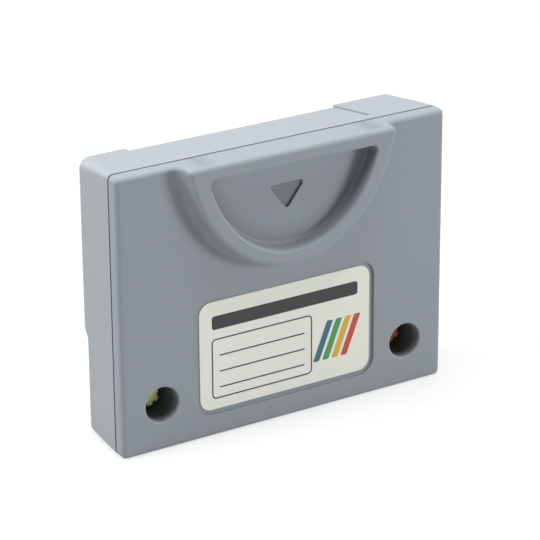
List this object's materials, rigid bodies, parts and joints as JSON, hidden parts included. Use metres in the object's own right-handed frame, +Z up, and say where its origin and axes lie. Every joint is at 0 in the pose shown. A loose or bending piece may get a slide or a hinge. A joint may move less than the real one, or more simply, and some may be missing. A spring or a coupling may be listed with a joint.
{
  "type": "console memory card",
  "caption": "Plug-in memory card for a game controller: two-part moulded case with a scooped finger grip, framed label, sunken screws and a board-edge connector in the foot.",
  "frame": {"origin": "centre of the card's box at the height of its foot, where it stands on the connector edge", "axes": "+X along the width, +Z up from the connector edge to the grip, -Y is the labelled front"},
  "size_m": [0.0684, 0.0194, 0.0527],
  "materials": {
    "shell_plastic": "moulded, fine satin texture",
    "label_film": "printed film, satin",
    "screw_steel": "yellow zinc plated",
    "board_laminate": "solder mask",
    "contact_gold": "gold plated",
    "cell_steel": "bright nickel",
    "tab_nickel": "nickel strip",
    "chip_epoxy": "moulded epoxy",
    "lead_tin": "tinned",
    "capacitor_ceramic": "fired ceramic",
    "resistor_ceramic": "glazed ceramic"
  },
  "bodies": {
    "root": {"front_shell": "shell_plastic", "rear_shell": "shell_plastic", "label": "label_film", "security_screws": "screw_steel", "circuit_board": "board_laminate", "front_contacts": "contact_gold", "rear_contacts": "contact_gold", "coin_cell": "cell_steel", "cell_negative_tab": "tab_nickel", "cell_positive_tab": "tab_nickel", "memory_chip": "chip_epoxy", "decoder_chip": "chip_epoxy", "supply_chip": "chip_epoxy", "memory_chip_leads": "lead_tin", "decoder_chip_leads": "lead_tin", "supply_chip_leads": "lead_tin", "chip_capacitors": "capacitor_ceramic", "chip_resistors": "resistor_ceramic"}
  },
  "joints": []
}
